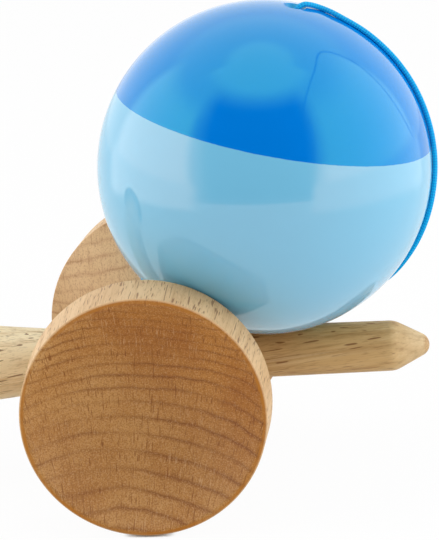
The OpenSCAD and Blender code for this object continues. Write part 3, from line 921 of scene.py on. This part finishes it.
def make_crosspiece():
    front = side_cup(FRONT_TAPER, FRONT_REACH)
    back = flipped(side_cup(BACK_TAPER, BACK_REACH))
    waist = between(front[-1], back[0], WAIST_STEPS)[:-1]
    place = axes_at(CROSSING, -BACK_WAY, TOY_UP)
    piece = lathe("crosspiece_wood", front + waist + back, place, [beech("crosspiece_beech", CROSS_WOOD)])
    reach = 2 * WAIST_R
    widening = SEAT_R - SPIKE_ROOT_R
    bore = drill(
        SEAT_MID_R + widening + SEAT_GAP, SEAT_MID_R - widening + SEAT_GAP, 2 * reach,
        axes_at(toy_point(-reach, 0, 0), HANDLE_WAY, TOY_UP))
    hole = drill(CROSS_HOLE_R, CROSS_HOLE_R, reach, axes_at(toy_point(0, 0, 0), -TOY_UP, HANDLE_WAY))
    bevel = drill(
        CROSS_HOLE_R + 2 * CROSS_HOLE_BEVEL, CROSS_HOLE_R, 2 * CROSS_HOLE_BEVEL,
        axes_at(toy_point(0, 0, -WAIST_R - CROSS_HOLE_BEVEL), TOY_UP, HANDLE_WAY))
    carve(piece, [bore, hole, bevel])
    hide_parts("crosspiece")
    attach(piece, "crosspiece")


def make_handle():
    place = axes_at(CROSSING, HANDLE_WAY, TOY_UP)
    piece = lathe("handle_wood", handle_outline(), place, [beech("handle_beech", HANDLE_WOOD)])
    hole_at = axes_at(toy_point(0, 0, -2 * SEAT_R), TOY_UP, HANDLE_WAY)
    hole = drill(HANDLE_HOLE_R, HANDLE_HOLE_R, 4 * SEAT_R, hole_at)
    knot_seat_r = KNOT_D / 2 + KNOT_GAP
    knot_seat_at = axes_at(toy_point(0, 0, SEAT_MID_R - KNOT_D - 2 * KNOT_GAP), TOY_UP, HANDLE_WAY)
    knot_seat = drill(knot_seat_r, knot_seat_r, 2 * SEAT_R, knot_seat_at)
    carve(piece, [hole, knot_seat])
    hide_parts("handle")
    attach(piece, "handle")


def make_ball():
    top = math.degrees(math.asin(STRING_SINK_R / BALL_R))
    bottom = math.degrees(math.asin((SPIKE_HOLE_R + SPIKE_HOLE_BEVEL) / BALL_R))
    skin = arc((0, 0), BALL_R, 90 - top, -90 + bottom, BALL_STEPS)
    bore_from = (SPIKE_HOLE_R, skin[-1][1] + SPIKE_HOLE_BEVEL)
    bore = [bore_from] + between(bore_from, (SPIKE_HOLE_R, HOLE_END), BORE_STEPS)
    sink_z = skin[0][1] - (STRING_SINK_R - STRING_HOLE_R)
    room = [(BEAD_ROOM_R, HOLE_END), (BEAD_ROOM_R, ROOM_END)]
    string_hole = [(STRING_HOLE_R, ROOM_END), (STRING_HOLE_R, sink_z)]
    outline = (skin + bore + room + string_hole)[::-1]
    slots = [1] * (len(outline) - len(skin)) + [0] * len(skin)
    materials = [ball_paint("ball_paint"), beech("ball_bare_wood", BALL_WOOD)]
    place = axes_at(BALL_AT, BALL_WAY, BACK_WAY)
    piece = lathe("ball_painted", outline, place, materials, BALL_AROUND, slots)
    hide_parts("ball")
    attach(piece, "ball")


def make_bead():
    edge = math.degrees(math.asin(BEAD_HOLE_R / BEAD_R))
    skin = arc((0, 0), BEAD_R, -90 + edge, 90 - edge, BEAD_STEPS)
    hole = between(skin[-1], skin[0], EDGE_STEPS)[:-1]
    place = axes_at(BALL_AT + MM * BEAD_Z * BALL_WAY, BALL_WAY, BACK_WAY)
    piece = lathe("bead_turned", skin + hole, place, [beech("bead_beech", BEAD_WOOD)], BEAD_AROUND)
    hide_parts("bead")
    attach(piece, "string_end")


def ring_at(place, side, other, radius, turns):
    """Corners round a place, at one radius or at one for each turn."""
    corners = place + np.outer(radius * np.cos(turns), side) + np.outer(radius * np.sin(turns), other)
    return [tuple(corner) for corner in corners]


def ways_across(path, side):
    """Two directions across a path at each place, which don't twist along it and start near side."""
    side = np.array(side)
    for i in range(len(path)):
        way = unit(path[min(i + 1, len(path) - 1)] - path[max(i - 1, 0)])
        side = square_to(side, way)
        yield side, np.cross(way, side)


def mark_braid(piece, run):
    """Gives a tube the turn and the length that its braid follows."""
    n = BRAID_SIDES
    layer = piece.data.uv_layers.new(name="braid")
    for polygon in piece.data.polygons:
        corners = [divmod(piece.data.loops[i].vertex_index, n) for i in polygon.loop_indices]
        wraps = {0, n - 1} <= {k for _, k in corners}
        for index, (i, k) in zip(polygon.loop_indices, corners):
            layer.data[index].uv = ((n if wraps and k == 0 else k) / n, run[i])
    smooth(piece, BRAID_SHARP)


def sweep(name, path, material):
    """String along a path, with the braid's crossings raised on it."""
    run = run_along(path)
    turns = turns_round(BRAID_SIDES)
    vertices = []
    for place, at, (side, other) in zip(path, run, ways_across(path, STRING_ACROSS)):
        wind = 2 * math.pi * at / BRAID_PITCH
        weave = np.sin(STRANDS * turns + wind) * np.sin(STRANDS * turns - wind)
        radius = BRAID_D / 2 * (1 - BRAID_DEPTH + BRAID_DEPTH * weave)
        vertices += ring_at(place, side, other, radius, turns)
    piece = new_piece(name, vertices, tube_faces(len(path), BRAID_SIDES), Matrix.Identity(4), [material])
    mark_braid(piece, run)
    return piece


def on_ball(turn, rise):
    t, r = math.radians(turn), math.radians(rise)
    way = np.array([math.cos(r) * math.cos(t), math.cos(r) * math.sin(t), math.sin(r)])
    return in_mm(BALL_AT) + (BALL_R + LAY) * way


def on_waist(turn):
    t = math.radians(turn)
    reach = WAIST_R + LAY
    x, _, z = in_mm(CROSSING)
    return np.array([x + reach * math.cos(t), WAIST_Y, z + reach * math.sin(t)])


def coil_point(turn):
    """Place in the coil, which winds inward, climbs by one layer and winds out again."""
    half = 180 * COIL_TURNS
    radius = COIL_R - COIL_STEP * (half - abs(turn - half)) / 360
    t = math.radians(180 - turn)
    u = min(1, max(0, (turn - half + 90) / 180))
    climb = u * u * (3 - 2 * u)
    x, y = COIL_CENTRE
    return np.array([x + radius * math.cos(t), y + radius * math.sin(t), COIL_LOW + COIL_STEP * climb])


def string_routes():
    """The free string from the ball to the coil, and from the coil's start to the crosspiece."""
    centre, axis = in_mm(BALL_AT), np.array(BALL_WAY)
    way = square_to(on_ball(*OVER_BALL[0]) - centre, axis)
    exit_bend = [centre + EXIT_Z * axis]
    for t in np.radians(BEND_TURNS):
        height = BEND_Z + EXIT_BEND * math.sin(t)
        exit_bend.append(centre + height * axis + EXIT_BEND * (1 - math.cos(t)) * way)
    lead = np.array([0, CORD_D, 0])
    start = coil_point(0) - lead
    end = coil_point(360 * COIL_TURNS) - lead
    upper = exit_bend + [on_ball(*a) for a in OVER_BALL] + [on_waist(a) for a in OVER_WAIST]
    upper += [np.array(p) for p in TO_COIL] + [start - 2 * lead, start]
    coil = [coil_point(360 * i / COIL_RINGS) for i in range(int(COIL_TURNS * COIL_RINGS) + 1)]
    into_hole = [in_mm(CROSSING) - z * np.array(TOY_UP) for z in (WAIST_R, SEAT_MID_R + KNOT_GAP)]
    lower = [start] + coil + [end, end - 2 * lead] + [np.array(p) for p in FROM_COIL] + into_hole
    return upper, lower


def make_strings(material):
    upper_path, lower_path = (curve_through(points, BRAID_STEP) for points in string_routes())
    upper = sweep("string_from_ball", upper_path, material)
    lower = sweep("string_from_coil", lower_path, material)
    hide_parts("string_upper")
    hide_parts("string_coil", "string_lower")
    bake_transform(upper)
    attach(lower, "crosspiece")


def make_slack(material):
    """String that shows from the handle's hole to the crosspiece's when the crosspiece is off. At rest it is
    pressed flat in the two holes."""
    shares = np.linspace(0, 1, SLACK_RINGS)
    weights = shares ** 2 * (3 - 2 * shares)
    drops = np.interp(weights, *zip(*SLACK_DROPS))
    turns = turns_round(BRAID_SIDES)
    along, back, up = (np.array(v) for v in (HANDLE_WAY, BACK_WAY, TOY_UP))
    vertices = []
    for share, drop in zip(shares, drops):
        middle = in_mm(CROSSING) + SLACK_HALF * (2 * share - 1) * along + drop * up
        vertices += ring_at(middle, back, up, BRAID_D / 2, turns)
    faces = tube_faces(SLACK_RINGS, BRAID_SIDES)
    piece = new_piece("string_slack", vertices, faces, Matrix.Identity(4), [material])
    mark_braid(piece, weights * SLACK_LENGTH)
    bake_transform(piece)


def make_tie(material):
    """Flat tape round the turns at the back of the coil."""
    turns = np.arange(90, 360 * COIL_TURNS, 360)
    radii = [np.linalg.norm(coil_point(t)[:2] - COIL_CENTRE) for t in turns]
    corner_r = CORD_D / 2 + TIE_GAP + TIE_T / 2
    half_y = (max(radii) - min(radii)) / 2
    half_z = COIL_STEP / 2
    loop = []
    for sign_y, sign_z, start in ((1, 1, 0), (-1, 1, 90), (-1, -1, 180), (1, -1, 270)):
        loop += arc((sign_y * half_y, sign_z * half_z), corner_r, start, start + 90, TIE_CORNER_STEPS)
    edge = TIE_T / 2
    flat = TIE_W / 2 - edge
    section = arc((flat, 0), edge, -90, 90, TIE_EDGE_STEPS) + arc((-flat, 0), edge, 90, 270, TIE_EDGE_STEPS)
    vertices = []
    for i in range(len(loop)):
        before, here, after = (np.array(loop[(i + d) % len(loop)]) for d in (-1, 0, 1))
        along = after - before
        out = unit(np.array([along[1], -along[0]]))
        vertices += [(a, here[0] + b * out[0], here[1] + b * out[1]) for a, b in section]
    faces = net(len(loop), len(section), loop_rows=True, loop_wide=True)
    middle = (COIL_CENTRE[0], COIL_CENTRE[1] + (max(radii) + min(radii)) / 2, COIL_LOW + COIL_STEP / 2)
    tie = new_piece("tie_band", vertices, faces, Matrix.Translation(MM * Vector(middle)), [material])
    smooth(tie, TIE_SHARP)
    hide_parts("coil_tie")
    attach(tie, "crosspiece")


def make_knot(name, node, body, place, stem, material):
    """Overhand knot, and the straight string that leaves it along Z, as one skin. A unit loop is 6 across."""
    t = np.linspace(0, 2 * math.pi, KNOT_RINGS)
    loop = (KNOT_D - BRAID_D) / 6 * np.column_stack([
        np.sin(t) + 2 * np.sin(2 * t), np.cos(t) - 2 * np.cos(2 * t), -KNOT_DEPTH * np.sin(3 * t)])
    line = np.linspace((0, 0, 0), (0, 0, stem), STEM_RINGS)
    turns = turns_round(KNOT_SIDES)
    vertices, faces = [], []
    for path in (loop, line):
        first = len(vertices)
        for middle, (side, other) in zip(path, ways_across(path, KNOT_ACROSS)):
            vertices += ring_at(middle, side, other, BRAID_D / 2, turns)
        faces += [tuple(first + v for v in face) for face in tube_faces(len(path), KNOT_SIDES)]
    piece = new_piece(name, vertices, faces, place, [material])
    skin = piece.modifiers.new("skin", "REMESH")
    skin.mode = "VOXEL"
    skin.voxel_size = KNOT_SKIN * MM
    apply_modifiers(piece)
    piece.data.materials.clear()
    piece.data.materials.append(material)
    smooth(piece, NEVER_SHARP)
    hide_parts(node)
    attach(piece, body)


def make_knots(material):
    in_ball = axes_at(BALL_AT + MM * BEAD_KNOT_Z * BALL_WAY, BALL_WAY, BACK_WAY)
    make_knot("knot_under_bead", "bead_knot", "string_end", in_ball, EXIT_Z - BEAD_KNOT_Z, material)
    knot_z = SEAT_MID_R - KNOT_D / 2 - KNOT_GAP
    in_handle = axes_at(toy_point(0, 0, knot_z), -TOY_UP, HANDLE_WAY)
    make_knot("knot_in_handle", "handle_knot", "handle", in_handle, SEAT_MID_R + knot_z, material)


def make_camera():
    data = bpy.data.cameras.new("camera")
    data.sensor_fit = "AUTO"
    data.sensor_width = SENSOR
    data.lens = FOCAL_PX * SENSOR / PHOTO_H
    camera = bpy.data.objects.new("camera", data)
    camera.matrix_world = axes_at(CAMERA_AT, CAMERA_RIGHT.cross(CAMERA_UP), CAMERA_UP)
    bpy.context.scene.collection.objects.link(camera)
    bpy.context.scene.camera = camera


def make_table():
    s = Shader("table_white")
    cloth = s.add("BsdfDiffuse", {"Color": TABLE_TONE})
    white = s.add("Emission", {"Strength": 1.0})
    contact = s.add("AmbientOcclusion", {"Distance": CONTACT_REACH * MM}, samples=CONTACT_SAMPLES)
    white_share = s.times(s.step(contact.outputs["AO"], *CONTACT_LIGHT), TABLE_WHITE)
    material = s.end(s.shared(s.times(s.seen_rays(), white_share), cloth, white))
    corners = [(x * TABLE_HALF, y * TABLE_HALF, 0) for x, y in ((-1, -1), (1, -1), (1, 1), (-1, 1))]
    new_piece("table", corners, [(0, 1, 2, 3)], Matrix.Identity(4), [material])


def make_world():
    s = Shader("studio", bpy.data.worlds)
    level = s.add("MapRange", {"Value": s.seen_rays(), "To Min": FILL, "To Max": 1.0}).outputs[0]
    sky = s.add("Background", {"Color": grey(1.0), "Strength": level})
    bpy.context.scene.world = s.end(sky, "OutputWorld")


def glow(name, level, fades):
    """Plain light of one level, which fades to nothing toward the sides and the ends of a panel."""
    s = Shader(name)
    u, v, _ = s.spread()
    inside = 1.0
    for part, fade in zip((u, v), fades):
        if fade:
            edge = s.minus(0.5, s.absolute(s.minus(part, 0.5)))
            inside = s.times(inside, s.step(edge, 0.0, fade))
    return s.end(s.shared(inside, s.add("BsdfTransparent"), s.add("Emission", {"Strength": level})))


def on_dome(rise, side, reach):
    """Place on a dome from the ball's middle, by height and side in degrees."""
    r, t = math.radians(rise), math.radians(side)
    return reach * np.array([math.sin(t) * math.cos(r), -math.cos(t) * math.cos(r), math.sin(r)])


def stage_sheet(name, material, rows, gloss_only):
    """Sheet through rows of places, which the camera doesn't see. With gloss_only, only gloss shows it."""
    wide = len(rows[0])
    vertices = [place for row in rows for place in row]
    piece = new_piece(name, vertices, net(len(rows), wide), Matrix.Translation(BALL_AT), [material])
    layer = piece.data.uv_layers.new(name="spread")
    for loop in piece.data.loops:
        i, k = divmod(loop.vertex_index, wide)
        layer.data[loop.index].uv = (k / (wide - 1), i / (len(rows) - 1))
    piece.visible_camera = False
    if gloss_only:
        for ray in ("diffuse", "transmission", "volume_scatter", "shadow"):
            setattr(piece, "visible_" + ray, False)


def make_panel(panel):
    rows = []
    for v in np.linspace(0, 1, PANEL_STEPS + 1):
        spans = (panel.heights, *zip(panel.low_sides, panel.high_sides))
        rise, left, right = (a + (b - a) * v for a, b in spans)
        sides = np.linspace(left, right, PANEL_STEPS + 1)
        rows.append([on_dome(rise, side, panel.reach) for side in sides])
    material = glow(panel.name + "_glow", panel.level, panel.fades)
    stage_sheet(panel.name, material, rows, panel.gloss_only)


def make_seam(name):
    """Thin strip on the dome, which shows in gloss alone."""
    line = curve_through([on_dome(*way, SEAM_REACH) for way in SEAM_WAYS], SEAM_STEP)
    rows = []
    for before, here, after in zip(line, line[1:], line[2:]):
        across = unit(np.cross(after - before, here)) * SEAM_W / 2
        rows.append([here - across, here, here + across])
    stage_sheet(name, glow(name + "_glow", SEAM_LEVEL, SEAM_FADES), rows, True)


bpy.context.scene.view_settings.view_transform = "Standard"
make_camera()
string_braid = braid("string_braid")
make_tie(tape("tie_tape"))
make_strings(string_braid)
make_slack(string_braid)
make_crosspiece()
make_handle()
make_ball()
make_bead()
make_knots(drawn_tight("knot_fibres"))
make_table()
make_world()
for stage_panel in PANELS:
    make_panel(stage_panel)
make_seam("right_seam")
